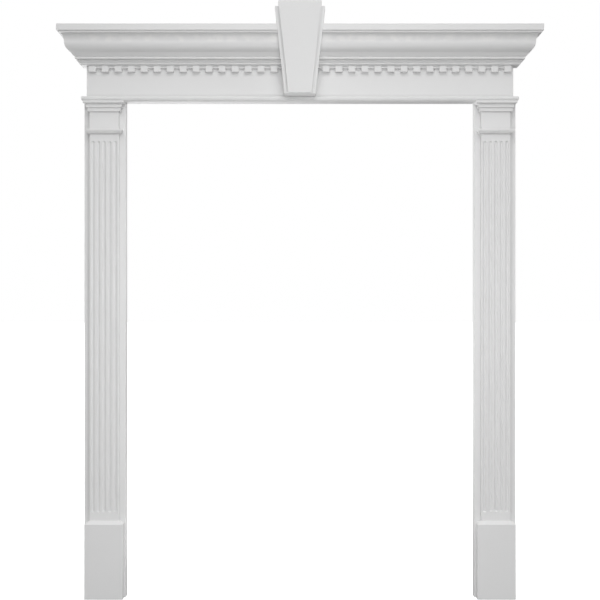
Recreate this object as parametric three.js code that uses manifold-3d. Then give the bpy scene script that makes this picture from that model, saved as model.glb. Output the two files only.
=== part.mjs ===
// A moulded door surround: a crosshead with a dentilled cornice and a keystone, on two fluted pilasters.
// Millimetres, +Z up. Every piece has its back in the wall plane y = 0 and faces -Y.
// The origin is on the back of the crosshead, where it is fixed to the wall above the doorway.
import * as THREE from 'three';
import { mergeVertices } from 'three/addons/utils/BufferGeometryUtils.js';
import Module from 'manifold-3d';

const wasm = await Module();
wasm.setup();

// Doorway, and the height of the fixing point above the foot of the crosshead
const openingWidth = 1524;
const openingHeight = 2164;
const fixingHeight = 100;
const jointGap = 0.3;

// Frieze: the plain face of the crosshead, from which its mouldings project
const crossheadHeight = 317.5;
const friezeHalfWidth = 932;
const friezeDepth = 47.5;

// Nosing along the foot of the frieze
const nosingHeight = 23;
const nosingOut = 21.5;
const nosingFootOut = 9.5;
const nosingFaceFoot = 15;
const nosingFaceTop = 18;

// Cornice, as projections beyond the frieze and heights above the foot of the crosshead
const soffitHeight = 158;
const soffitEdgeOut = 23.3;
const bedFootOut = 27.8;
const bedFootHeight = 162.5;
const bedFootTop = 165.3;
const bedSlopeOut = 38.5;
const bedSlopeTop = 175;
const bedQuirkOut = 33;
const beadOut = 44;
const beadFoot = 179.5;
const beadRoundOut = 3.5;
const beadRoundHeight = 7;
const beadTop = 191.5;
const cymaFootOut = 47.5;
const cymaFoot = 207;
const cymaRoundRadius = 44;
const cymaHollowRadius = 49.5;
const cymaMiddleOut = 82.8;
const cymaMiddle = 246.4;
const cymaTop = 280.5;
const crownFilletOut = 104.5;
const crownFilletTop = 289.5;
const fasciaOut = 111;

// Dentils under the cornice, and the rail that they stand on
const dentilCount = 33;
const dentilPitch = 56.6;
const dentilWidth = 31;
const dentilHeight = 28.7;
const dentilOut = 17;
const railHeight = 12.5;
const railOut = 12;
const rooting = 4;

// Pilasters: a shaft on a wider backing board
const boardWidth = 180.5;
const boardThickness = 44;
const shaftWidth = 127;
const shaftDepth = 70;

// Plinth block, as projections beyond the shaft and heights above the floor
const plinthOut = 19.5;
const plinthHeight = 326;
const plinthSlope = 13;

// Astragal, as projections beyond the shaft and heights above its own foot
const astragalDrop = 142;
const astragalHeight = 20.4;
const astragalOut = 16;
const astragalRoundOut = 13;
const astragalRoundHeight = 10;
const astragalFilletFoot = 11;

// Capital, as projections beyond the shaft and drops below the foot of the crosshead
const quirk = 2;
const lowerBandDrop = 45;
const lowerBandOut = 8.5;
const upperBandDrop = 28.5;
const upperBandOut = 14.5;
const bandRound = 2;
const abacusDrop = 12.3;
const abacusRoundDrop = 7;
const abacusFootOut = 18.5;
const abacusOut = 25.8;
const abacusTopRound = 3;

// Flutes down the front of each shaft
const fluteCount = 5;
const flutePitch = 24.4;
const fluteHalfWidth = 7;
const fluteDepth = 5.6;
const fluteFoot = 376;
const fluteTopDrop = 173;

// Keystone: a wedge with a raised panel on its face. Its face leans forward towards the top.
const keyFoot = 22;
const keyTop = 406;
const keyLean = 0.106;
const panelFootDepth = 160;
const panelFootHalfWidth = 50.4;
const panelHeadHalfWidth = 88.7;
const panelLip = 3.4;
const panelLipHeight = 23;
const rimFootDepth = 133.5;
const rimFootHalfWidth = 67.5;
const rimTop = 388.5;
const rimShoulderHalfWidth = 97.7;
const rimCheekHalfWidth = 102.3;
const rimLipHalfWidth = 107;
const rimLipHeight = 15;
const rimEase = 6;
const keyArris = 3;
const cheekClearance = 1;

// Segments in each arc, and in the tool that cuts a flute
const arcSteps = 4;
const capsuleSides = 16;
const capsuleEndSteps = 4;

// How far a cutting outline runs past what it cuts
const overrun = 10;

const primedWhite = { color: 0xdedede, roughness: 0.5, metalness: 0 };

// Turns a closed three.js mesh into a solid that can be cut and joined.
function toSolid(geometry) {
  const bare = geometry.clone();
  bare.deleteAttribute('normal');
  bare.deleteAttribute('uv');
  const merged = mergeVertices(bare, 1e-4);
  const corners = merged.index.array;
  const triangles = [];
  for (let i = 0; i < corners.length; i += 3) {
    const [a, b, c] = [corners[i], corners[i + 1], corners[i + 2]];
    if (a !== b && b !== c && c !== a) triangles.push(a, b, c);
  }
  return new wasm.Manifold(new wasm.Mesh({
    numProp: 3,
    vertProperties: new Float32Array(merged.attributes.position.array),
    triVerts: new Uint32Array(triangles),
  }));
}

function toGeometry(solid) {
  const mesh = solid.getMesh();
  const geometry = new THREE.BufferGeometry();
  geometry.setAttribute('position', new THREE.BufferAttribute(mesh.vertProperties, 3));
  geometry.setIndex(new THREE.BufferAttribute(mesh.triVerts, 1));
  geometry.computeVertexNormals();
  return geometry;
}

function box(width, depth, height, x, y, z) {
  return toSolid(new THREE.BoxGeometry(width, depth, height).translate(x, y, z));
}

// Extrudes an outline of (depth from the wall, height) points along X, centred on x = 0.
function extrudeAlongX(outline, length) {
  const options = { depth: length, bevelEnabled: false };
  const geometry = new THREE.ExtrudeGeometry(new THREE.Shape(outline), options);
  geometry.translate(0, 0, -length / 2);
  const out = new THREE.Vector3(0, -1, 0);
  const up = new THREE.Vector3(0, 0, 1);
  const across = new THREE.Vector3(-1, 0, 0);
  geometry.applyMatrix4(new THREE.Matrix4().makeBasis(out, up, across));
  return toSolid(geometry);
}

// Extrudes an outline of (x, height) points out from the wall, between two depths.
function extrudeFromWall(outline, nearDepth, farDepth) {
  const options = { depth: farDepth - nearDepth, bevelEnabled: false };
  const geometry = new THREE.ExtrudeGeometry(new THREE.Shape(outline), options);
  geometry.translate(0, 0, nearDepth);
  geometry.rotateX(Math.PI / 2);
  return toSolid(geometry);
}

// Mirrors a list of (half-width, height) points, listed upwards, into a closed outline about x = 0.
function mirrored(points) {
  const left = points.map((p) => new THREE.Vector2(-p.x, p.y)).reverse();
  return [...points, ...left];
}

// A block whose moulded face returns to the wall at both ends with true mitres. The section lists
// projection against height, upwards: the front extrusion and the side extrusion share it, and
// what they have in common has its corners mitred.
function mitredBlock(section, halfWidth, depth) {
  const points = section.getPoints(arcSteps);
  const foot = points[0].y;
  const top = points[points.length - 1].y;
  const reach = Math.max(...points.map((p) => p.x));
  const front = points.map((p) => new THREE.Vector2(depth + p.x, p.y));
  front.unshift(new THREE.Vector2(0, foot));
  front.push(new THREE.Vector2(0, top));
  const ends = points.map((p) => new THREE.Vector2(halfWidth + p.x, p.y));
  ends.unshift(new THREE.Vector2(ends[0].x, foot - overrun));
  ends.push(new THREE.Vector2(ends[ends.length - 1].x, top + overrun));
  const frontPart = extrudeAlongX(front, 2 * (halfWidth + reach + overrun));
  const endPart = extrudeFromWall(mirrored(ends), -overrun, depth + reach + overrun);
  return frontPart.intersect(endPart);
}

// Draws a quarter of an ellipse from the pen to a point, starting level or starting plumb.
function quarterTo(line, out, height, startsLevel) {
  const from = line.currentPoint.clone();
  const centre = startsLevel ? new THREE.Vector2(from.x, height) : new THREE.Vector2(out, from.y);
  const radiusOut = Math.abs(out - from.x);
  const radiusUp = Math.abs(height - from.y);
  const start = Math.atan2((from.y - centre.y) / radiusUp, (from.x - centre.x) / radiusOut);
  const end = Math.atan2((height - centre.y) / radiusUp, (out - centre.x) / radiusOut);
  const turn = Math.atan2(Math.sin(end - start), Math.cos(end - start));
  line.absellipse(centre.x, centre.y, radiusOut, radiusUp, start, start + turn, turn < 0);
}

// Section of the crosshead from its foot to its top.
function crossheadSection() {
  const line = new THREE.Path();
  line.moveTo(nosingFootOut, 0);
  quarterTo(line, nosingOut, nosingFaceFoot, true);
  line.lineTo(nosingOut, nosingFaceTop);
  quarterTo(line, nosingOut - (nosingHeight - nosingFaceTop), nosingHeight, false);
  line.lineTo(0, nosingHeight);
  line.lineTo(0, soffitHeight);
  line.lineTo(soffitEdgeOut, soffitHeight);
  line.lineTo(bedFootOut, bedFootHeight);
  line.lineTo(bedFootOut, bedFootTop);
  line.lineTo(bedSlopeOut, bedSlopeTop);
  line.lineTo(bedQuirkOut, bedSlopeTop);
  line.lineTo(bedQuirkOut, beadFoot);
  line.lineTo(beadOut - beadRoundOut, beadFoot);
  quarterTo(line, beadOut, beadFoot + beadRoundHeight, true);
  line.lineTo(beadOut, beadTop);
  line.lineTo(cymaFootOut, beadTop);
  const roundAngle = Math.asin((cymaMiddle - cymaFoot) / cymaRoundRadius);
  const hollowAngle = Math.asin((cymaTop - cymaMiddle) / cymaHollowRadius);
  const roundCentre = cymaMiddleOut - cymaRoundRadius;
  const hollowCentre = cymaMiddleOut + cymaHollowRadius;
  line.absarc(roundCentre, cymaMiddle, cymaRoundRadius, -roundAngle, 0, false);
  line.absarc(hollowCentre, cymaMiddle, cymaHollowRadius, Math.PI, Math.PI - hollowAngle, true);
  line.lineTo(crownFilletOut, cymaTop);
  line.lineTo(crownFilletOut, crownFilletTop);
  line.lineTo(fasciaOut, crownFilletTop);
  line.lineTo(fasciaOut, crossheadHeight);
  return line;
}

// The crosshead without its dentils, which the keystone is notched to fit.
function plainCrosshead() {
  return mitredBlock(crossheadSection(), friezeHalfWidth, friezeDepth);
}

// A bar under the cornice soffit, rooted in the frieze behind it and in the cornice above it.
function barUnderSoffit(width, height, out, x) {
  const depth = out + rooting;
  const y = -(friezeDepth + (out - rooting) / 2);
  return box(width, depth, height + rooting, x, y, soffitHeight + (rooting - height) / 2);
}

function crosshead() {
  const rowWidth = (dentilCount - 1) * dentilPitch + dentilWidth;
  let solid = plainCrosshead().add(barUnderSoffit(rowWidth, railHeight, railOut, 0));
  for (let i = 0; i < dentilCount; i += 1) {
    const x = (i - (dentilCount - 1) / 2) * dentilPitch;
    solid = solid.add(barUnderSoffit(dentilWidth, dentilHeight, dentilOut, x));
  }
  return solid;
}

// Section of the pilaster beyond its shaft, from the floor to the underside of the crosshead.
function pilasterSection(height) {
  const line = new THREE.Path();
  line.moveTo(plinthOut, 0);
  line.lineTo(plinthOut, plinthHeight);
  line.lineTo(0, plinthHeight + plinthSlope);

  // Astragal: a round under a fillet
  const astragalFoot = height - astragalDrop;
  line.lineTo(0, astragalFoot);
  line.lineTo(quirk, astragalFoot);
  quarterTo(line, astragalRoundOut, astragalFoot + astragalRoundHeight, true);
  line.lineTo(astragalRoundOut, astragalFoot + astragalFilletFoot);
  line.lineTo(astragalOut, astragalFoot + astragalFilletFoot);
  line.lineTo(astragalOut, astragalFoot + astragalHeight);
  line.lineTo(0, astragalFoot + astragalHeight);

  // Capital: two bands and an abacus, one above the other, each rounded beneath
  let reached = 0;
  for (const [out, drop] of [[lowerBandOut, lowerBandDrop], [upperBandOut, upperBandDrop]]) {
    line.lineTo(reached, height - drop);
    line.lineTo(out - bandRound, height - drop);
    quarterTo(line, out, height - drop + bandRound, true);
    reached = out;
  }
  line.lineTo(reached, height - abacusDrop);
  line.lineTo(abacusFootOut, height - abacusDrop);
  quarterTo(line, abacusOut, height - abacusRoundDrop, true);
  line.lineTo(abacusOut, height - abacusTopRound);
  quarterTo(line, abacusOut - abacusTopRound, height, false);
  return line;
}

// A round-bottomed flute with rounded ends, as the tool that cuts it from the shaft.
function fluteCutter(x, foot, top) {
  const radius = (fluteHalfWidth ** 2 + fluteDepth ** 2) / (2 * fluteDepth);
  const straight = top - foot - 2 * fluteHalfWidth;
  const capsule = new THREE.CapsuleGeometry(radius, straight, capsuleEndSteps, capsuleSides);
  capsule.rotateX(Math.PI / 2);
  capsule.translate(x, -(shaftDepth + radius - fluteDepth), (foot + top) / 2);
  return toSolid(capsule);
}

function pilaster() {
  const height = openingHeight - jointGap;
  const board = box(boardWidth, boardThickness, height, 0, -boardThickness / 2, height / 2);
  let solid = mitredBlock(pilasterSection(height), shaftWidth / 2, shaftDepth).add(board);
  for (let i = 0; i < fluteCount; i += 1) {
    const x = (i - (fluteCount - 1) / 2) * flutePitch;
    solid = solid.subtract(fluteCutter(x, fluteFoot, height - fluteTopDrop));
  }
  return solid;
}

// A wedge with a leaning face: a front outline that is cut by a side outline.
function leaningWedge(halfOutline, foot, top, footDepth) {
  const headDepth = footDepth + keyLean * (top - foot);
  const side = [
    new THREE.Vector2(0, foot),
    new THREE.Vector2(footDepth - keyArris, foot),
    new THREE.Vector2(footDepth, foot + keyArris),
    new THREE.Vector2(headDepth, top),
    new THREE.Vector2(0, top),
  ];
  const outline = halfOutline.map(([x, z]) => new THREE.Vector2(x, z));
  outline[0].y -= overrun;
  outline[outline.length - 1].y += overrun;
  const front = extrudeFromWall(mirrored(outline), -overrun, headDepth + overrun);
  return extrudeAlongX(side, 4 * rimLipHalfWidth).intersect(front);
}

// The keystone is notched at the back to sit over the cornice, the dentils and the nosing.
function keystone() {
  const cheekFoot = crossheadHeight + cheekClearance;
  const rim = leaningWedge([
    [rimFootHalfWidth, keyFoot],
    [rimShoulderHalfWidth, cheekFoot],
    [rimCheekHalfWidth, cheekFoot + rimEase],
    [rimCheekHalfWidth, rimTop - rimLipHeight - rimEase],
    [rimLipHalfWidth, rimTop - rimLipHeight],
    [rimLipHalfWidth, rimTop],
  ], keyFoot, rimTop, rimFootDepth);
  const panel = leaningWedge([
    [panelFootHalfWidth, keyFoot],
    [panelHeadHalfWidth, keyTop - panelLipHeight],
    [panelHeadHalfWidth + panelLip, keyTop - panelLipHeight + panelLip],
    [panelHeadHalfWidth + panelLip, keyTop],
  ], keyFoot, keyTop, panelFootDepth);
  const dentilBand = barUnderSoffit(2 * friezeHalfWidth, dentilHeight, dentilOut, 0);
  const notch = plainCrosshead().add(dentilBand);
  return rim.add(panel)
    .subtract(notch)
    .subtract(notch.translate(0, -jointGap, jointGap))
    .subtract(notch.translate(0, -jointGap, -jointGap));
}

function piece(name, solid) {
  const mesh = new THREE.Mesh(toGeometry(solid), new THREE.MeshStandardMaterial(primedWhite));
  mesh.name = name;
  return mesh;
}

const surround = new THREE.Group();
surround.name = 'door_surround';

const head = new THREE.Group();
head.position.z = -fixingHeight;
head.add(piece('crosshead', crosshead()));
head.add(piece('keystone', keystone()));
surround.add(head);

const legs = new THREE.Group();
legs.position.z = -fixingHeight - openingHeight;
for (const [name, side] of [['pilaster_left', -1], ['pilaster_right', 1]]) {
  const leg = piece(name, pilaster());
  leg.position.x = side * (openingWidth + boardWidth) / 2;
  legs.add(leg);
}
surround.add(legs);
surround.updateMatrixWorld(true);

export default surround;
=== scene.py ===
# A moulded door surround: two fluted pilasters, a crosshead with a dentilled cornice, and a keystone.
# Metres, +Z up. The wall plane is y = 0 and the surround faces -Y.
from bisect import bisect_left
from math import asin, cos, pi, radians, sin, sqrt

import bmesh
import bpy
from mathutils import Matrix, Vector


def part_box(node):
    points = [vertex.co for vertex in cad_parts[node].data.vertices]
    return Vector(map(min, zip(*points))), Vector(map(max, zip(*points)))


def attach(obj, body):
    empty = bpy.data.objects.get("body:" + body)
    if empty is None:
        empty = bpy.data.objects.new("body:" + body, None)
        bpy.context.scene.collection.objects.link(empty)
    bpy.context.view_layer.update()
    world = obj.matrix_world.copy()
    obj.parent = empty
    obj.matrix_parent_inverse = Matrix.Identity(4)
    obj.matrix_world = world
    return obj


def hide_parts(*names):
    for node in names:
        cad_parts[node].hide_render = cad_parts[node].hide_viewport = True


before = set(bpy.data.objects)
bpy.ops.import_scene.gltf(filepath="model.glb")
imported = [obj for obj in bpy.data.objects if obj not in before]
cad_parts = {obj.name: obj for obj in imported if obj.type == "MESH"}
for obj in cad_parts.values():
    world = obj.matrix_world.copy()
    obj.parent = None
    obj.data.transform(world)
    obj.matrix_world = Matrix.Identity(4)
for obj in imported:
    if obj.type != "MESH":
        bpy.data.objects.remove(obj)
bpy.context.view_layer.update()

# Pilasters
# Each pilaster is one moulding of rigid polyurethane, primed white: a backing board, a plinth block,
# a shaft with five flutes, an astragal, a plain necking and a capital. It stands beside the doorway,
# and it is glued and nailed to the wall.
left_low, left_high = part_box("pilaster_left")
pilaster_height = left_high.z - left_low.z
board_width = left_high.x - left_low.x
board_thickness = 0.044
board_round = 0.002
shaft_width = 0.127
shaft_depth = 0.070
hidden_root = 0.004

plinth_out = 0.0195
plinth_height = 0.326
plinth_slope = 0.013

quirk = 0.002
astragal_foot = pilaster_height - 0.142
astragal_height = 0.0204
astragal_round_out = 0.013
astragal_round_height = 0.010
astragal_fillet_foot = 0.011
astragal_out = 0.016

lower_band_foot = pilaster_height - 0.045
lower_band_out = 0.0085
upper_band_foot = pilaster_height - 0.0285
upper_band_out = 0.0145
band_round = 0.002
abacus_foot = pilaster_height - 0.0123
abacus_round_top = pilaster_height - 0.007
abacus_foot_out = 0.0185
abacus_out = 0.0258
abacus_top_round = 0.003

flute_count = 5
flute_pitch = 0.0244
flute_half_width = 0.007
flute_depth = 0.0056
flute_foot = 0.376
flute_top = pilaster_height - 0.173
flute_lip = 0.0009

flute_lip_turn = radians(14)
flute_bed_steps = 8
flute_lip_steps = 3
flute_end_steps = 14

arris_cut = 0.0014
arris_steps = 3
arris_share = 0.4
arris_widest = 0.0025
arris_least_turn = radians(10)
mitre_round = 0.0014
mitre_steps = 4
corner_turn = radians(35)
smooth_turn = radians(38)


class Profile:
    """The section of a moulding, drawn upwards: how far it projects, against height."""

    def __init__(self, out, height):
        self.points = [(out, height)]

    def line(self, out, height):
        self.points.append((out, height))

    def quarter(self, out, height, level, steps=9):
        """A quarter of an ellipse that leaves the last point level, or else plumb."""
        out_0, height_0 = self.points[-1]
        for i in range(1, steps + 1):
            turn = i / steps * pi / 2
            near, far = sin(turn), 1 - cos(turn)
            share_out, share_up = (near, far) if level else (far, near)
            self.line(out_0 + (out - out_0) * share_out, height_0 + (height - height_0) * share_up)

    def arc(self, centre_out, centre_height, radius, start, end, steps=16):
        for i in range(1, steps + 1):
            turn = start + (end - start) * i / steps
            self.line(centre_out + radius * cos(turn), centre_height + radius * sin(turn))

    def softened(self):
        """The points with each corner cut back on both sides and bridged by a small curve."""
        spots = [Vector(p) for p in self.points]
        runs = [0.0]
        for a, b in zip(spots, spots[1:]):
            runs.append(runs[-1] + (b - a).length)

        def at(run):
            i = min(max(bisect_left(runs, run), 1), len(runs) - 1)
            return spots[i - 1].lerp(spots[i], (run - runs[i - 1]) / (runs[i] - runs[i - 1]))

        corners = [
            i for i in range(1, len(spots) - 1)
            if (spots[i] - spots[i - 1]).angle(spots[i + 1] - spots[i]) > corner_turn
        ]
        stops = [0.0] + [runs[i] for i in corners] + [runs[-1]]
        soft = []
        reached = -1.0
        for n, i in enumerate(corners):
            back = min(arris_cut, arris_share * (stops[n + 1] - stops[n]))
            on = min(arris_cut, arris_share * (stops[n + 2] - stops[n + 1]))
            soft += [p for p, run in zip(spots, runs) if reached < run < runs[i] - back]
            first, last = at(runs[i] - back), at(runs[i] + on)
            for k in range(arris_steps + 1):
                t = k / arris_steps
                soft.append(first.lerp(spots[i], t).lerp(spots[i].lerp(last, t), t))
            reached = runs[i] + on
        soft += [p for p, run in zip(spots, runs) if run > reached]
        return soft


def as_object(shape, name):
    """Turns a finished bmesh into an object in the scene."""
    bmesh.ops.recalc_face_normals(shape, faces=shape.faces)
    mesh = bpy.data.meshes.new(name)
    shape.to_mesh(mesh)
    shape.free()
    thing = bpy.data.objects.new(name, mesh)
    bpy.context.scene.collection.objects.link(thing)
    return thing


def mitred_moulding(name, points, half_width, depth, back):
    """Runs a section along the left side, the front and the right side of a block, with mitres."""
    shape = bmesh.new()
    rows = []
    for out, height in points:
        side_x = half_width + out
        front_y = depth + out
        plan = [(side_x, back)]
        for i in range(mitre_steps + 1):
            turn = i / mitre_steps * pi / 2
            x = side_x - mitre_round * (1 - cos(turn))
            y = front_y - mitre_round * (1 - sin(turn))
            plan.append((x, y))
        around = [(-x, y) for x, y in plan] + plan[::-1]
        rows.append([shape.verts.new((x, -y, height)) for x, y in around])
    for lower, upper in zip(rows, rows[1:]):
        for i in range(len(lower) - 1):
            shape.faces.new((lower[i], lower[i + 1], upper[i + 1], upper[i]))
    shape.faces.new(rows[0])
    shape.faces.new(rows[-1])
    shape.faces.new([row[0] for row in rows] + [row[-1] for row in reversed(rows)])
    return as_object(shape, name)


def softened_block(shape, low, high, cut, chosen=None):
    """Adds a block to a bmesh, with its edges softened, or only those that a test chooses."""
    made = bmesh.ops.create_cube(shape, size=1.0)["verts"]
    for v in made:
        v.co = Vector([lo + (hi - lo) * (c + 0.5) for lo, hi, c in zip(low, high, v.co)])
    edges = {e for v in made for e in v.link_edges}
    picked = [e for e in edges if chosen is None or chosen(e)]
    bmesh.ops.bevel(shape, geom=picked, offset=cut, segments=arris_steps, profile=0.5, affect="EDGES")


def carve(body, tool, operation):
    """Joins a tool to a body (UNION) or cuts it out (DIFFERENCE), and drops the tool."""
    step = body.modifiers.new("carve", "BOOLEAN")
    step.operation = operation
    step.object = tool
    step.solver = "EXACT"
    graph = bpy.context.evaluated_depsgraph_get()
    carved = bpy.data.meshes.new_from_object(body.evaluated_get(graph))
    body.modifiers.clear()
    body.data = carved
    bpy.data.objects.remove(tool)


def pilaster_profile():
    section = Profile(plinth_out, 0)
    section.line(plinth_out, plinth_height)
    section.line(0, plinth_height + plinth_slope)
    section.line(0, astragal_foot)
    section.line(quirk, astragal_foot)
    section.quarter(astragal_round_out, astragal_foot + astragal_round_height, level=True)
    section.line(astragal_round_out, astragal_foot + astragal_fillet_foot)
    section.line(astragal_out, astragal_foot + astragal_fillet_foot)
    section.line(astragal_out, astragal_foot + astragal_height)
    section.line(0, astragal_foot + astragal_height)
    reached = 0
    for out, foot in ((lower_band_out, lower_band_foot), (upper_band_out, upper_band_foot)):
        section.line(reached, foot)
        section.line(out - band_round, foot)
        section.quarter(out, foot + band_round, level=True)
        reached = out
    section.line(reached, abacus_foot)
    section.line(abacus_foot_out, abacus_foot)
    section.quarter(abacus_out, abacus_round_top, level=True)
    section.line(abacus_out, pilaster_height - abacus_top_round)
    section.quarter(abacus_out - abacus_top_round, pilaster_height, level=False)
    return section


def flute_section():
    """Half of a flute's cross-section, from its bed to above the face: half-width and depth."""
    bed_radius = (flute_half_width ** 2 + flute_depth ** 2) / (2 * flute_depth)
    rise = bed_radius - flute_depth
    lip_x = sqrt((bed_radius + flute_lip) ** 2 - (flute_lip + rise) ** 2)
    meeting = asin(lip_x / (bed_radius + flute_lip))
    points = []
    for i in range(1, flute_bed_steps + 1):
        turn = meeting * i / flute_bed_steps
        points.append((bed_radius * sin(turn), bed_radius * cos(turn) - rise))
    for i in range(1, flute_lip_steps + 1):
        turn = meeting + (flute_lip_turn - meeting) * i / flute_lip_steps
        points.append((lip_x - flute_lip * sin(turn), flute_lip - flute_lip * cos(turn)))
    points.append((lip_x, -flute_lip))
    return points


def flute_cutters():
    """One tool with the shape of all the flutes: each is a slot with round ends and a soft lip."""
    shape = bmesh.new()
    low_end = flute_foot + flute_half_width
    high_end = flute_top - flute_half_width
    for n in range(flute_count):
        middle = (n - (flute_count - 1) / 2) * flute_pitch
        bed_y = flute_depth - shaft_depth
        bed = [shape.verts.new((middle, bed_y, z)) for z in (high_end, low_end)]
        loops = []
        for half_width, depth in flute_section():
            loop = []
            for centre, start in ((high_end, 0), (low_end, pi)):
                for k in range(flute_end_steps + 1):
                    turn = start + pi * k / flute_end_steps
                    x = middle + half_width * cos(turn)
                    z = centre + half_width * sin(turn)
                    loop.append(shape.verts.new((x, depth - shaft_depth, z)))
            loops.append(loop)
        count = len(loops[0])
        for k in range(count):
            here, there = loops[0][k], loops[0][(k + 1) % count]
            if k == flute_end_steps:
                shape.faces.new((bed[0], here, there, bed[1]))
            elif k == count - 1:
                shape.faces.new((bed[1], here, there, bed[0]))
            else:
                shape.faces.new((bed[0] if k < flute_end_steps else bed[1], here, there))
        for inner, outer in zip(loops, loops[1:]):
            for k in range(count):
                m = (k + 1) % count
                shape.faces.new((inner[k], inner[m], outer[m], outer[k]))
        shape.faces.new(loops[-1])
    return as_object(shape, "flute_cutters")


def mark_arrises(mesh):
    """Stores on each face whether it is one of the narrow facets that soften an arris."""

    def turns_outwards(edge):
        return len(edge.link_faces) == 2 and edge.calc_face_angle_signed() > arris_least_turn

    shape = bmesh.new()
    shape.from_mesh(mesh)
    worn = shape.faces.layers.float.new("arris")
    for face in shape.faces:
        turns = [e for e in face.edges if turns_outwards(e)]
        width = 2 * face.calc_area() / face.calc_perimeter()
        face[worn] = 1.0 if len(turns) >= 2 and width < arris_widest else 0.0
    shape.to_mesh(mesh)
    shape.free()


def finish_mesh(piece):
    """Smooth curves, crisp inner corners and even light on the flats."""
    mark_arrises(piece.data)
    piece.data.shade_smooth()
    piece.data.set_sharp_from_angle(angle=smooth_turn)
    even = piece.modifiers.new("even_shading", "WEIGHTED_NORMAL")
    even.keep_sharp = True


primer_tone = (0.765, 0.765, 0.765)
primer_mottling = 0.02
primer_wear = 0.5
pilaster_gloss = 0.44

cloud_scale = 5.5
cloud_share = 0.7
speckle_scale = 130.0
speckle_share = 0.3
mottle_low = 0.3
mottle_high = 0.7
gloss_less = -0.05
gloss_more = 0.06
peel_scale = 520.0
swell_scale = 60.0
swell_share = 2.0
film_relief = 0.00012
film_relief_strength = 0.25

patch_scale = 24.0
patch_low = 0.42
patch_high = 0.62
rubbed_tone = (0.86, 0.855, 0.84)
rubbed_polish = 0.12


def shader_group(name, inputs, outputs):
    """An empty node group with its sockets, and its input and output nodes."""
    tree = bpy.data.node_groups.new(name, "ShaderNodeTree")
    for title, kind, value in inputs:
        socket = tree.interface.new_socket(title, in_out="INPUT", socket_type="NodeSocket" + kind)
        if value is not None:
            socket.default_value = value
    for title, kind in outputs:
        tree.interface.new_socket(title, in_out="OUTPUT", socket_type="NodeSocket" + kind)
    return tree, tree.nodes.new("NodeGroupInput"), tree.nodes.new("NodeGroupOutput")


def noise(tree, position, scale, detail, roughness=0.5):
    node = tree.nodes.new("ShaderNodeTexNoise")
    node.inputs["Scale"].default_value = scale
    node.inputs["Detail"].default_value = detail
    node.inputs["Roughness"].default_value = roughness
    tree.links.new(position, node.inputs["Vector"])
    return node.outputs["Fac"]


def remap(tree, value, low, high, to_low, to_high):
    node = tree.nodes.new("ShaderNodeMapRange")
    node.inputs["From Min"].default_value = low
    node.inputs["From Max"].default_value = high
    node.inputs["To Min"].default_value = to_low
    node.inputs["To Max"].default_value = to_high
    tree.links.new(value, node.inputs["Value"])
    return node.outputs["Result"]


def calculate(tree, operation, first, second):
    node = tree.nodes.new("ShaderNodeMath")
    node.operation = operation
    for socket, value in zip(node.inputs, (first, second)):
        if isinstance(value, (int, float)):
            socket.default_value = value
        else:
            tree.links.new(value, socket)
    return node.outputs["Value"]


def primer_film_group():
    """Sprayed primer: broad mottling of tone and gloss, and a fine peel in its surface."""
    tree, given, result = shader_group(
        "primer_film",
        [
            ("Position", "Vector", None),
            ("Tone Depth", "Float", primer_mottling),
            ("Gloss", "Float", pilaster_gloss),
        ],
        [("Tone", "Float"), ("Roughness", "Float"), ("Height", "Float")],
    )
    place = given.outputs["Position"]
    cloud = noise(tree, place, cloud_scale, detail=4.0, roughness=0.55)
    speckle = noise(tree, place, speckle_scale, detail=2.0)
    peel = noise(tree, place, peel_scale, detail=1.5)
    swell = noise(tree, place, swell_scale, detail=2.0)

    broad = calculate(tree, "MULTIPLY", cloud, cloud_share)
    fine = calculate(tree, "MULTIPLY", speckle, speckle_share)
    mottle = calculate(tree, "ADD", broad, fine)
    darker = remap(tree, mottle, mottle_low, mottle_high, 1.0, 0.0)
    fall = calculate(tree, "MULTIPLY", darker, given.outputs["Tone Depth"])
    tree.links.new(calculate(tree, "SUBTRACT", 1.0, fall), result.inputs["Tone"])

    change = remap(tree, mottle, mottle_low, mottle_high, gloss_less, gloss_more)
    gloss = calculate(tree, "ADD", given.outputs["Gloss"], change)
    tree.links.new(gloss, result.inputs["Roughness"])

    raised = calculate(tree, "MULTIPLY", swell, swell_share)
    tree.links.new(calculate(tree, "ADD", peel, raised), result.inputs["Height"])
    return tree


def rubbed_arris_group():
    """Where handling has burnished the primer along the arrises, in patches."""
    tree, given, result = shader_group(
        "rubbed_arris",
        [("Position", "Vector", None), ("Amount", "Float", primer_wear)],
        [("Mask", "Float")],
    )
    arris = tree.nodes.new("ShaderNodeAttribute")
    arris.attribute_name = "arris"
    patches = noise(tree, given.outputs["Position"], patch_scale, detail=3.0)
    patches = remap(tree, patches, patch_low, patch_high, 0.0, 1.0)
    worn = calculate(tree, "MULTIPLY", arris.outputs["Fac"], patches)
    worn = calculate(tree, "MULTIPLY", worn, given.outputs["Amount"])
    tree.links.new(worn, result.inputs["Mask"])
    return tree


primer_film = primer_film_group()
rubbed_arris = rubbed_arris_group()


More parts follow.
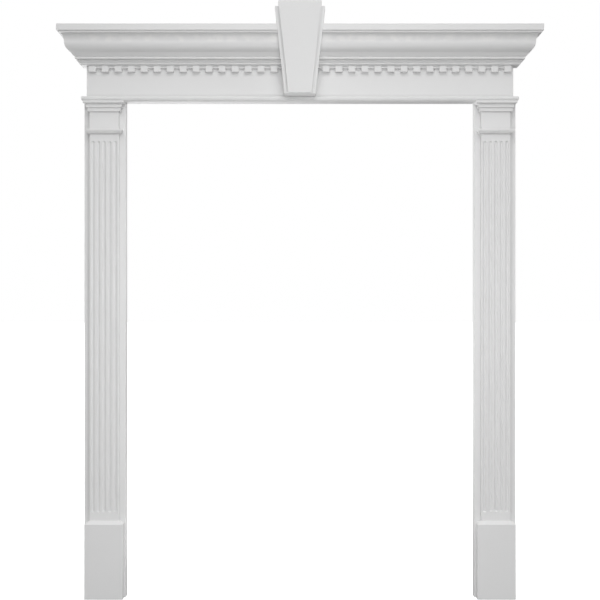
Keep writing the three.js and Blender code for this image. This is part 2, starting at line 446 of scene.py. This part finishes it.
def primed_white(name, gloss, offset):
    """White primer on a moulding. The offset gives each kind of piece its own part of the pattern."""
    material = bpy.data.materials.new(name)
    material.use_nodes = True
    tree = material.node_tree
    shader = tree.nodes["Principled BSDF"]
    place = tree.nodes.new("ShaderNodeTexCoord")
    shift = tree.nodes.new("ShaderNodeVectorMath")
    shift.operation = "ADD"
    shift.inputs[1].default_value = offset
    tree.links.new(place.outputs["Object"], shift.inputs[0])

    film = tree.nodes.new("ShaderNodeGroup")
    film.node_tree = primer_film
    film.inputs["Tone Depth"].default_value = primer_mottling
    film.inputs["Gloss"].default_value = gloss
    rubbed = tree.nodes.new("ShaderNodeGroup")
    rubbed.node_tree = rubbed_arris
    rubbed.inputs["Amount"].default_value = primer_wear
    for group in (film, rubbed):
        tree.links.new(shift.outputs["Vector"], group.inputs["Position"])

    shade = tree.nodes.new("ShaderNodeMix")
    shade.data_type = "RGBA"
    shade.blend_type = "MULTIPLY"
    shade.inputs[0].default_value = 1.0
    shade.inputs[6].default_value = (*primer_tone, 1.0)
    tree.links.new(film.outputs["Tone"], shade.inputs[7])
    bared = tree.nodes.new("ShaderNodeMix")
    bared.data_type = "RGBA"
    bared.inputs[7].default_value = (*rubbed_tone, 1.0)
    tree.links.new(rubbed.outputs["Mask"], bared.inputs[0])
    tree.links.new(shade.outputs[2], bared.inputs[6])
    tree.links.new(bared.outputs[2], shader.inputs["Base Color"])

    polish = calculate(tree, "MULTIPLY", rubbed.outputs["Mask"], rubbed_polish)
    roughness = calculate(tree, "SUBTRACT", film.outputs["Roughness"], polish)
    tree.links.new(roughness, shader.inputs["Roughness"])
    bump = tree.nodes.new("ShaderNodeBump")
    bump.inputs["Strength"].default_value = film_relief_strength
    bump.inputs["Distance"].default_value = film_relief
    tree.links.new(film.outputs["Height"], bump.inputs["Height"])
    tree.links.new(bump.outputs["Normal"], shader.inputs["Normal"])
    return material


def pilaster_mesh():
    """The pilaster about its own centre line, with its foot at height 0."""
    section = pilaster_profile().softened()
    block_back = board_thickness - hidden_root
    body = mitred_moulding("pilaster", section, shaft_width / 2, shaft_depth, block_back)
    carve(body, flute_cutters(), "DIFFERENCE")
    board = bmesh.new()

    def is_front_arris(edge):
        foot, head = sorted(v.co.z for v in edge.verts)
        return head > foot and all(v.co.y < -board_thickness / 2 for v in edge.verts)

    low = (-board_width / 2, -board_thickness, 0)
    high = (board_width / 2, 0, pilaster_height)
    softened_block(board, low, high, board_round, is_front_arris)
    carve(body, as_object(board, "board"), "UNION")
    mesh = body.data
    bpy.data.objects.remove(body)
    return mesh


primed_pilaster = primed_white("primed_pilaster", pilaster_gloss, offset=(3.1, 0.7, 1.9))
pilaster_shape = pilaster_mesh()
for node in ("pilaster_left", "pilaster_right"):
    low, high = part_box(node)
    mesh = pilaster_shape.copy()
    for v in mesh.vertices:
        v.co += Vector(((low.x + high.x) / 2, 0, low.z))
    pilaster = bpy.data.objects.new("fluted_" + node, mesh)
    bpy.context.scene.collection.objects.link(pilaster)
    mesh.materials.append(primed_pilaster)
    finish_mesh(pilaster)
    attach(pilaster, "root")
    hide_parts(node)

# Crosshead
# The crosshead spans the doorway and rests on the pilasters. It is one moulding of the same primed
# polyurethane: a nosing, a plain frieze, a row of dentils and a cornice with a cyma, returned to the
# wall at both ends. It is glued and screwed to the wall above the doorway.
crosshead_low, crosshead_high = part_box("crosshead")
crosshead_height = crosshead_high.z - crosshead_low.z
fascia_out = 0.111
frieze_half_width = crosshead_high.x - fascia_out
frieze_depth = -crosshead_low.y - fascia_out

nosing_height = 0.023
nosing_out = 0.0215
nosing_foot_out = 0.0095
nosing_face_foot = 0.015
nosing_face_top = 0.018

soffit_height = 0.158
soffit_edge_out = 0.0233
bed_foot_out = 0.0278
bed_foot_height = 0.1625
bed_foot_top = 0.1653
bed_slope_out = 0.0385
bed_slope_top = 0.175
bed_quirk_out = 0.033
bead_out = 0.044
bead_foot = 0.1795
bead_round_out = 0.0035
bead_round_height = 0.007
bead_top = 0.1915
cyma_foot_out = 0.0475
cyma_foot = 0.207
cyma_round_radius = 0.044
cyma_hollow_radius = 0.0495
cyma_middle_out = 0.0828
cyma_middle = 0.2464
cyma_top = 0.2805
crown_fillet_out = 0.1045
crown_fillet_top = 0.2895

dentil_count = 33
dentil_pitch = 0.0566
dentil_width = 0.031
dentil_height = 0.0287
dentil_out = 0.017
rail_height = 0.0125
rail_out = 0.012

crosshead_gloss = 0.42


def crosshead_profile():
    """The section starts and ends a little inside the foot and the top, so both arrises are softened."""
    inset = 3 * arris_cut
    section = Profile(nosing_foot_out - inset, 0)
    section.line(nosing_foot_out, 0)
    section.quarter(nosing_out, nosing_face_foot, level=True)
    section.line(nosing_out, nosing_face_top)
    section.quarter(nosing_out - (nosing_height - nosing_face_top), nosing_height, level=False)
    section.line(0, nosing_height)
    section.line(0, soffit_height)
    section.line(soffit_edge_out, soffit_height)
    section.line(bed_foot_out, bed_foot_height)
    section.line(bed_foot_out, bed_foot_top)
    section.line(bed_slope_out, bed_slope_top)
    section.line(bed_quirk_out, bed_slope_top)
    section.line(bed_quirk_out, bead_foot)
    section.line(bead_out - bead_round_out, bead_foot)
    section.quarter(bead_out, bead_foot + bead_round_height, level=True)
    section.line(bead_out, bead_top)
    section.line(cyma_foot_out, bead_top)
    round_turn = asin((cyma_middle - cyma_foot) / cyma_round_radius)
    hollow_turn = asin((cyma_top - cyma_middle) / cyma_hollow_radius)
    round_centre = cyma_middle_out - cyma_round_radius
    hollow_centre = cyma_middle_out + cyma_hollow_radius
    section.line(round_centre + cyma_round_radius * cos(round_turn), cyma_foot)
    section.arc(round_centre, cyma_middle, cyma_round_radius, -round_turn, 0)
    section.arc(hollow_centre, cyma_middle, cyma_hollow_radius, pi, pi - hollow_turn)
    section.line(crown_fillet_out, cyma_top)
    section.line(crown_fillet_out, crown_fillet_top)
    section.line(fascia_out, crown_fillet_top)
    section.line(fascia_out, crosshead_height)
    section.line(fascia_out - inset, crosshead_height)
    return section


def add_soffit_bar(shape, middle, width, height, out):
    """A bar under the cornice, rooted in the frieze behind it and in the cornice above it."""
    low = (middle - width / 2, -(frieze_depth + out), soffit_height - height)
    high = (middle + width / 2, hidden_root - frieze_depth, soffit_height + hidden_root)
    softened_block(shape, low, high, arris_cut)


def plain_crosshead(name):
    section = crosshead_profile().softened()
    return mitred_moulding(name, section, frieze_half_width, frieze_depth, 0)


crosshead = plain_crosshead("dentilled_crosshead")
row_width = (dentil_count - 1) * dentil_pitch + dentil_width
rail = bmesh.new()
add_soffit_bar(rail, 0, row_width - dentil_width, rail_height, rail_out)
carve(crosshead, as_object(rail, "rail"), "UNION")
dentils = bmesh.new()
for n in range(dentil_count):
    middle = (n - (dentil_count - 1) / 2) * dentil_pitch
    add_soffit_bar(dentils, middle, dentil_width, dentil_height, dentil_out)
carve(crosshead, as_object(dentils, "dentils"), "UNION")
for v in crosshead.data.vertices:
    v.co.z += crosshead_low.z
primed_crosshead = primed_white("primed_crosshead", crosshead_gloss, offset=(0.0, 5.3, 2.2))
crosshead.data.materials.append(primed_crosshead)
finish_mesh(crosshead)
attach(crosshead, "root")
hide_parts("crosshead")

# Keystone
# The keystone is a separate wedge of the same primed polyurethane, with a raised panel on its
# leaning face. It is notched at the back to sit over the cornice, and it is glued on the middle of
# the crosshead and to the wall.
key_low, key_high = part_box("keystone")
key_foot = key_low.z - crosshead_low.z
key_top = key_high.z - crosshead_low.z
key_lean = 0.106
key_gap = 0.0003
panel_foot_depth = 0.160
panel_foot_half = 0.0504
panel_head_half = 0.0887
panel_lip = 0.0034
panel_lip_height = 0.023
rim_foot_depth = 0.1335
rim_foot_half = 0.0675
rim_top = 0.3885
rim_shoulder_half = 0.0977
rim_cheek_half = 0.1023
rim_lip_half = 0.107
rim_lip_height = 0.015
rim_ease = 0.006
cheek_clearance = 0.001
cheek_foot = crosshead_height + cheek_clearance
wedge_arris_steps = 4

keystone_gloss = 0.42


def leaning_wedge(shape, half_outline, foot_depth):
    """Adds a wedge: an outline carried out from the wall to a leaning face with soft arrises."""
    foot = half_outline[0][1]
    outline = [(x, z) for x, z in half_outline] + [(-x, z) for x, z in reversed(half_outline)]
    wall = [shape.verts.new((x, 0, z)) for x, z in outline]
    face = [shape.verts.new((x, -(foot_depth + key_lean * (z - foot)), z)) for x, z in outline]
    shape.faces.new(wall)
    front = shape.faces.new(face)
    for i in range(len(outline)):
        k = (i + 1) % len(outline)
        shape.faces.new((wall[i], wall[k], face[k], face[i]))
    sides = [e for v in face for e in v.link_edges]
    arrises = list(set(sides) | set(front.edges))
    bmesh.ops.bevel(
        shape, geom=arrises, offset=arris_cut, segments=wedge_arris_steps, profile=0.5, affect="EDGES"
    )


rim = bmesh.new()
leaning_wedge(rim, [
    (rim_foot_half, key_foot),
    (rim_shoulder_half, cheek_foot),
    (rim_cheek_half, cheek_foot + rim_ease),
    (rim_cheek_half, rim_top - rim_lip_height - rim_ease),
    (rim_lip_half, rim_top - rim_lip_height),
    (rim_lip_half, rim_top),
], rim_foot_depth)
panel = bmesh.new()
leaning_wedge(panel, [
    (panel_foot_half, key_foot),
    (panel_head_half, key_top - panel_lip_height),
    (panel_head_half + panel_lip, key_top - panel_lip_height + panel_lip),
    (panel_head_half + panel_lip, key_top),
], panel_foot_depth)
keystone = as_object(rim, "panelled_keystone")
carve(keystone, as_object(panel, "panel"), "UNION")
for shift_y, shift_z in ((0, 0), (-key_gap, key_gap), (-key_gap, -key_gap)):
    notch = plain_crosshead("notch")
    band = bmesh.new()
    add_soffit_bar(band, 0, 2 * rim_lip_half + dentil_pitch, dentil_height, dentil_out)
    carve(notch, as_object(band, "band"), "UNION")
    for v in notch.data.vertices:
        v.co += Vector((0, shift_y, shift_z))
    carve(keystone, notch, "DIFFERENCE")
for v in keystone.data.vertices:
    v.co.z += crosshead_low.z
primed_keystone = primed_white("primed_keystone", keystone_gloss, offset=(1.7, 0.4, 6.1))
keystone.data.materials.append(primed_keystone)
finish_mesh(keystone)
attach(keystone, "root")
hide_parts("keystone")

# Floor, light and camera
# A pale floor under the pilasters, in a white surround: a tall arch of soft light in front, a glow
# at each side, and white behind. Beyond the doorway the floor throws light forward. Three soft lamps
# stand in front, and the camera looks straight at the doorway from the photograph's distance.
floor_half = 60.0
floor_tone = 0.9
floor_roughness = 0.8
floor_glow = 0.55
floor_bounce = 0.33
bright_floor_from = 0.7
bright_floor_blend = 0.1
bright_floor_reach = 0.4
bright_floor_left = 1.8
bright_floor_right = 0.25
behind_light = 0.85
behind_blend = 0.1
arch_light_low = 1.45
arch_light_middle = 2.15
arch_light_top = 1.5
arch_low_to_middle = (0.15, 0.35)
arch_middle_to_top = (0.45, 0.7)
arch_edge = (0.15, 0.55)
glow_left = 1.8
glow_right = 2.8
glow_edge = (0.75, 0.95)
fill_place = Vector((0.0, -1.6, -1.0))
fill_aim = Vector((0.0, 0.0, -1.0))
fill_size = (0.8, 0.8)
fill_power = 6.9
low_fill_place = Vector((0.5, -2.4, -1.1))
low_fill_aim = Vector((0.0, 0.0, -1.4))
low_fill_size = (0.8, 1.2)
low_fill_power = 5.0
key_place = Vector((0.1, -1.7, 1.45))
key_aim = Vector((0.0, 0.0, -0.4))
key_size = (0.9, 0.6)
key_power = 9.0
camera_place = Vector((0.0, -5.020, -0.9646))
camera_lens = 68.28
camera_sensor = 36.0


def camera_switch(tree, seen, cast):
    """Shows the camera one shader of the setting, and lets the other light the object."""
    path = tree.nodes.new("ShaderNodeLightPath")
    mix = tree.nodes.new("ShaderNodeMixShader")
    tree.links.new(path.outputs["Is Camera Ray"], mix.inputs[0])
    tree.links.new(cast, mix.inputs[1])
    tree.links.new(seen, mix.inputs[2])
    return mix.outputs[0]


def surround_strength(tree):
    """How strong the surround's light is, by direction."""
    direction = tree.nodes.new("ShaderNodeTexCoord")
    split = tree.nodes.new("ShaderNodeSeparateXYZ")
    tree.links.new(direction.outputs["Generated"], split.inputs[0])
    across, height = split.outputs["X"], split.outputs["Z"]
    low = remap(tree, height, *arch_low_to_middle, arch_light_low, arch_light_middle)
    top = remap(tree, height, *arch_middle_to_top, 0.0, arch_light_top - arch_light_middle)
    from_middle = calculate(tree, "ABSOLUTE", across, 0.0)
    sides = remap(tree, from_middle, *arch_edge, 1.0, 0.0)
    arch = calculate(tree, "MULTIPLY", sides, calculate(tree, "ADD", low, top))
    near, far = glow_edge
    left = remap(tree, across, -far, -near, glow_left, 0.0)
    right = remap(tree, across, near, far, 0.0, glow_right)
    front = calculate(tree, "ADD", arch, calculate(tree, "ADD", left, right))
    behind = remap(tree, split.outputs["Y"], -behind_blend, behind_blend, 0.0, 1.0)
    kept = calculate(tree, "MULTIPLY", front, calculate(tree, "SUBTRACT", 1.0, behind))
    return calculate(tree, "ADD", kept, calculate(tree, "MULTIPLY", behind, behind_light))


world = bpy.data.worlds.new("white_surround")
world.use_nodes = True
bpy.context.scene.world = world
tree = world.node_tree
cast_light = tree.nodes["Background"]
seen_white = tree.nodes.new("ShaderNodeBackground")
for background in (cast_light, seen_white):
    background.inputs["Color"].default_value = (1.0, 1.0, 1.0, 1.0)
    background.inputs["Strength"].default_value = 1.0
tree.links.new(surround_strength(tree), cast_light.inputs["Strength"])
tree.links.new(
    camera_switch(tree, seen_white.outputs[0], cast_light.outputs[0]),
    tree.nodes["World Output"].inputs["Surface"],
)

floor_shape = bmesh.new()
quarters = ((-1, -1), (1, -1), (1, 1), (-1, 1))
corners = [(x * floor_half, y * floor_half, left_low.z) for x, y in quarters]
floor_shape.faces.new([floor_shape.verts.new(corner) for corner in corners])
floor = as_object(floor_shape, "floor")
floor_material = bpy.data.materials.new("pale_floor")
floor_material.use_nodes = True
tree = floor_material.node_tree
pale = tree.nodes["Principled BSDF"]
pale.inputs["Base Color"].default_value = (floor_tone, floor_tone, floor_tone, 1.0)
pale.inputs["Roughness"].default_value = floor_roughness
pale.inputs["Emission Color"].default_value = (1.0, 1.0, 1.0, 1.0)
pale.inputs["Emission Strength"].default_value = floor_glow
dull = tree.nodes.new("ShaderNodeBsdfDiffuse")
dull.inputs["Color"].default_value = (floor_bounce, floor_bounce, floor_bounce, 1.0)
bright = tree.nodes.new("ShaderNodeEmission")
spot = tree.nodes.new("ShaderNodeNewGeometry")
split = tree.nodes.new("ShaderNodeSeparateXYZ")
tree.links.new(spot.outputs["Position"], split.inputs[0])
reach = (-bright_floor_reach, bright_floor_reach)
slant = remap(tree, split.outputs["X"], *reach, bright_floor_left, bright_floor_right)
tree.links.new(slant, bright.inputs["Strength"])
doorway_side = tree.nodes.new("ShaderNodeMixShader")
edge = (bright_floor_from - bright_floor_blend, bright_floor_from + bright_floor_blend)
lit = remap(tree, split.outputs["Y"], *edge, 0.0, 1.0)
tree.links.new(lit, doorway_side.inputs[0])
tree.links.new(dull.outputs[0], doorway_side.inputs[1])
tree.links.new(bright.outputs[0], doorway_side.inputs[2])
tree.links.new(
    camera_switch(tree, pale.outputs[0], doorway_side.outputs[0]),
    tree.nodes["Material Output"].inputs["Surface"],
)
floor.data.materials.append(floor_material)

for name, place, aim, size, power in (
    ("fill", fill_place, fill_aim, fill_size, fill_power),
    ("low_fill", low_fill_place, low_fill_aim, low_fill_size, low_fill_power),
    ("key", key_place, key_aim, key_size, key_power),
):
    lamp_data = bpy.data.lights.new(name, "AREA")
    lamp_data.shape = "RECTANGLE"
    lamp_data.size, lamp_data.size_y = size
    lamp_data.energy = power
    lamp = bpy.data.objects.new(name, lamp_data)
    lamp.location = place
    lamp.rotation_euler = (aim - place).to_track_quat("-Z", "Y").to_euler()
    lamp.visible_camera = False
    bpy.context.scene.collection.objects.link(lamp)

camera_data = bpy.data.cameras.new("camera")
camera_data.lens = camera_lens
camera_data.sensor_width = camera_sensor
camera = bpy.data.objects.new("camera", camera_data)
camera.location = camera_place
camera.rotation_euler = (radians(90), 0, 0)
bpy.context.scene.collection.objects.link(camera)
bpy.context.scene.camera = camera
bpy.context.scene.view_settings.view_transform = "Standard"
